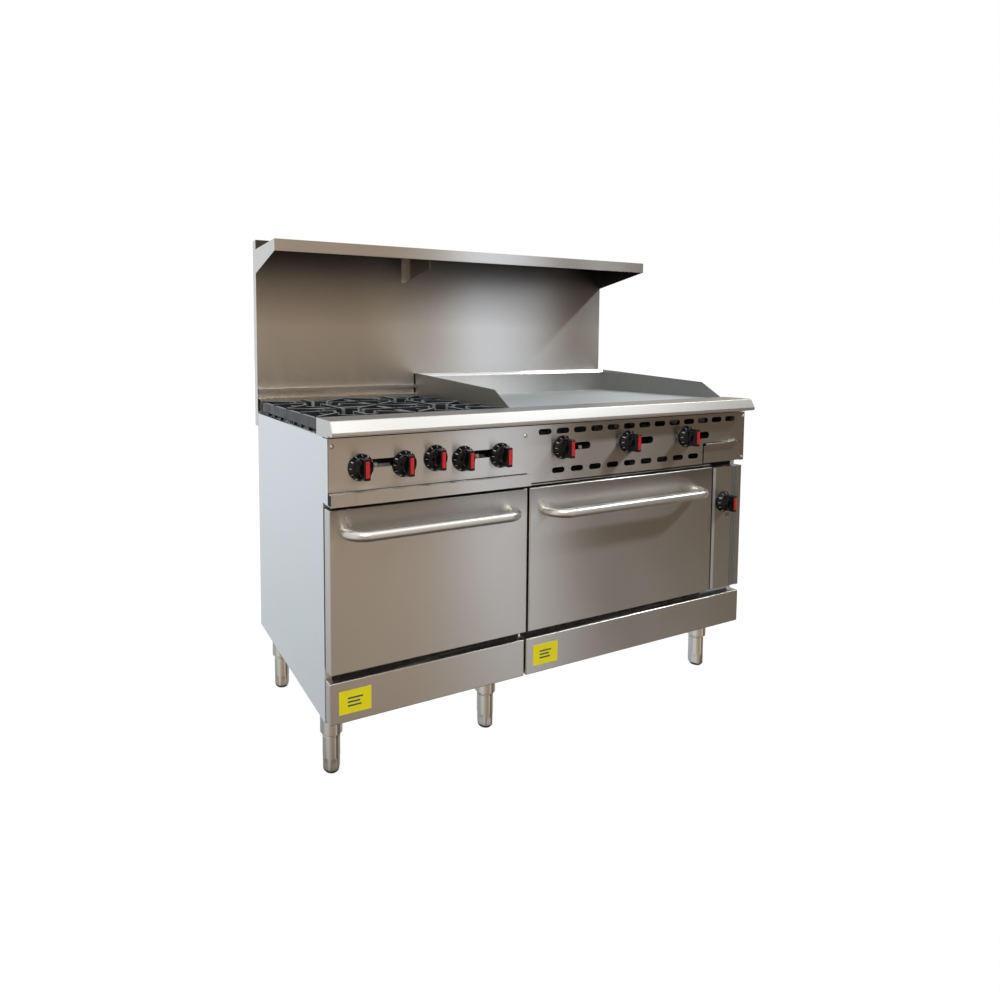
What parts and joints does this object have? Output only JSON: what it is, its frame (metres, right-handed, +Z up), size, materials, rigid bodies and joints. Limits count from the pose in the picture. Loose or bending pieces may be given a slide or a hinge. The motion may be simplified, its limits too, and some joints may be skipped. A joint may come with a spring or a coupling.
{
  "type": "commercial gas range",
  "caption": "Free-standing stainless gas range: open cast-iron burners over one oven, flat griddle over a wider oven, backguard and high shelf.",
  "frame": {"origin": "on the floor, under the middle of the whole range's footprint", "axes": "+Z up, +X to the right as the cook faces the range, -Y out of the front"},
  "size_m": [1.524, 0.791, 1.53],
  "materials": {
    "stainless": "horizontal brushed stainless",
    "satin_side": "pale satin stainless",
    "bright_ledge": "bright brushed stainless",
    "polished_tube": "polished tube",
    "leg_steel": "drawn stainless tube",
    "griddle_steel": "ground steel plate",
    "splash_steel": "dull mill-finish steel",
    "galvanised": "galvanised sheet",
    "cast_iron": "blue-black cast iron",
    "cast_burner": "grey as-cast iron",
    "gas_train": "brass valves on steel pipe",
    "oven_enamel": "dark vitreous enamel",
    "rack_wire": "plated wire",
    "black_knob": "gloss black phenolic",
    "red_insert": "gloss red insert",
    "yellow_label": "plain yellow vinyl"
  },
  "bodies": {
    "range": {"side_panel_left": "satin_side", "side_panel_right": "satin_side", "rear_panel": "galvanised", "base_frame": "galvanised", "center_divider": "galvanised", "door_hinge_left": "galvanised", "door_hinge_right": "galvanised", "kick_plate_left": "stainless", "kick_plate_right": "stainless", "control_panel": "stainless", "valve_panel": "stainless", "backguard": "stainless", "high_shelf": "stainless", "front_ledge": "bright_ledge", "griddle_plate": "griddle_steel", "griddle_splash": "splash_steel", "griddle_burner": "cast_burner", "oven_burners": "cast_burner", "gas_manifold": "gas_train", "top_burner_front_left": "cast_burner", "top_burner_front_right": "cast_burner", "top_burner_rear_left": "cast_burner", "top_burner_rear_right": "cast_burner", "oven_liner_left": "oven_enamel", "oven_liner_right": "oven_enamel", "leg_front_left": "leg_steel", "leg_front_center": "leg_steel", "leg_front_right": "leg_steel", "leg_rear_left": "leg_steel", "leg_rear_center": "leg_steel", "leg_rear_right": "leg_steel"},
    "door_left": {"oven_door_outer_left": "stainless", "oven_door_inner_left": "oven_enamel", "door_handle_left": "polished_tube"},
    "rack_left": {"oven_rack_left": "rack_wire"},
    "door_right": {"oven_door_outer_right": "stainless", "oven_door_inner_right": "oven_enamel", "door_handle_right": "polished_tube"},
    "rack_right": {"oven_rack_right": "rack_wire"},
    "crumb_tray": {"crumb_tray": "stainless"},
    "grease_drawer": {"grease_drawer": "stainless"},
    "grate_front_left": {"grate_front_left": "cast_iron"},
    "grate_front_right": {"grate_front_right": "cast_iron"},
    "grate_rear_left": {"grate_rear_left": "cast_iron"},
    "grate_rear_right": {"grate_rear_right": "cast_iron"},
    "burner_knob_1": {"burner_knob_1": "black_knob"},
    "burner_knob_2": {"burner_knob_2": "black_knob"},
    "burner_knob_3": {"burner_knob_3": "black_knob"},
    "burner_knob_4": {"burner_knob_4": "black_knob"},
    "oven_knob_left": {"oven_knob_left": "black_knob"},
    "griddle_knob_1": {"griddle_knob_1": "black_knob"},
    "griddle_knob_2": {"griddle_knob_2": "black_knob"},
    "griddle_knob_3": {"griddle_knob_3": "black_knob"},
    "oven_knob_right": {"oven_knob_right": "black_knob"},
    "foot_front_left": {"foot_front_left": "leg_steel"},
    "foot_front_center": {"foot_front_center": "leg_steel"},
    "foot_front_right": {"foot_front_right": "leg_steel"},
    "foot_rear_left": {"foot_rear_left": "leg_steel"},
    "foot_rear_center": {"foot_rear_center": "leg_steel"},
    "foot_rear_right": {"foot_rear_right": "leg_steel"}
  },
  "joints": [
    {"name": "door_left_hinge", "type": "hinge", "parent": "range", "child": "door_left", "pos_m": [-0.4585, -0.3055, 0.347], "axis": [1, 0, 0], "range_deg": [0, 90]},
    {"name": "rack_left_slide", "type": "slide", "parent": "range", "child": "rack_left", "axis": [0, -1, 0], "range_m": [0, 0.024]},
    {"name": "door_right_hinge", "type": "hinge", "parent": "range", "child": "door_right", "pos_m": [0.2265, -0.3055, 0.347], "axis": [1, 0, 0], "range_deg": [0, 90]},
    {"name": "rack_right_slide", "type": "slide", "parent": "range", "child": "rack_right", "axis": [0, -1, 0], "range_m": [0, 0.024]},
    {"name": "crumb_tray_slide", "type": "slide", "parent": "range", "child": "crumb_tray", "axis": [0, -1, 0], "range_m": [0, 0.45]},
    {"name": "grease_drawer_slide", "type": "slide", "parent": "range", "child": "grease_drawer", "axis": [0, -1, 0], "range_m": [0, 0.35]},
    {"name": "grate_front_left_lift", "type": "slide", "parent": "range", "child": "grate_front_left", "axis": [0, 0, 1], "range_m": [0, 0.06]},
    {"name": "grate_front_right_lift", "type": "slide", "parent": "range", "child": "grate_front_right", "axis": [0, 0, 1], "range_m": [0, 0.06]},
    {"name": "grate_rear_left_lift", "type": "slide", "parent": "range", "child": "grate_rear_left", "axis": [0, 0, 1], "range_m": [0, 0.06]},
    {"name": "grate_rear_right_lift", "type": "slide", "parent": "range", "child": "grate_rear_right", "axis": [0, 0, 1], "range_m": [0, 0.06]},
    {"name": "burner_knob_1_turn", "type": "hinge", "parent": "range", "child": "burner_knob_1", "pos_m": [-0.673, -0.3265, 0.863], "axis": [0, -1, 0], "range_deg": [0, 90]},
    {"name": "burner_knob_2_turn", "type": "hinge", "parent": "range", "child": "burner_knob_2", "pos_m": [-0.55, -0.3265, 0.863], "axis": [0, -1, 0], "range_deg": [0, 90]},
    {"name": "burner_knob_3_turn", "type": "hinge", "parent": "range", "child": "burner_knob_3", "pos_m": [-0.37, -0.3265, 0.863], "axis": [0, -1, 0], "range_deg": [0, 90]},
    {"name": "burner_knob_4_turn", "type": "hinge", "parent": "range", "child": "burner_knob_4", "pos_m": [-0.248, -0.3265, 0.863], "axis": [0, -1, 0], "range_deg": [0, 90]},
    {"name": "oven_knob_left_turn", "type": "hinge", "parent": "range", "child": "oven_knob_left", "pos_m": [-0.457, -0.3265, 0.871], "axis": [0, -1, 0], "range_deg": [0, 270]},
    {"name": "griddle_knob_1_turn", "type": "hinge", "parent": "range", "child": "griddle_knob_1", "pos_m": [-0.029, -0.3265, 0.871], "axis": [0, -1, 0], "range_deg": [0, 90]},
    {"name": "griddle_knob_2_turn", "type": "hinge", "parent": "range", "child": "griddle_knob_2", "pos_m": [0.228, -0.3265, 0.871], "axis": [0, -1, 0], "range_deg": [0, 90]},
    {"name": "griddle_knob_3_turn", "type": "hinge", "parent": "range", "child": "griddle_knob_3", "pos_m": [0.482, -0.3265, 0.871], "axis": [0, -1, 0], "range_deg": [0, 90]},
    {"name": "oven_knob_right_turn", "type": "hinge", "parent": "range", "child": "oven_knob_right", "pos_m": [0.675, -0.3205, 0.636], "axis": [0, -1, 0], "range_deg": [0, 270]},
    {"name": "foot_front_left_screw", "type": "slide", "parent": "range", "child": "foot_front_left", "axis": [0, 0, -1], "range_m": [0, 0.025]},
    {"name": "foot_front_center_screw", "type": "slide", "parent": "range", "child": "foot_front_center", "axis": [0, 0, -1], "range_m": [0, 0.025]},
    {"name": "foot_front_right_screw", "type": "slide", "parent": "range", "child": "foot_front_right", "axis": [0, 0, -1], "range_m": [0, 0.025]},
    {"name": "foot_rear_left_screw", "type": "slide", "parent": "range", "child": "foot_rear_left", "axis": [0, 0, -1], "range_m": [0, 0.025]},
    {"name": "foot_rear_center_screw", "type": "slide", "parent": "range", "child": "foot_rear_center", "axis": [0, 0, -1], "range_m": [0, 0.025]},
    {"name": "foot_rear_right_screw", "type": "slide", "parent": "range", "child": "foot_rear_right", "axis": [0, 0, -1], "range_m": [0, 0.025]}
  ]
}
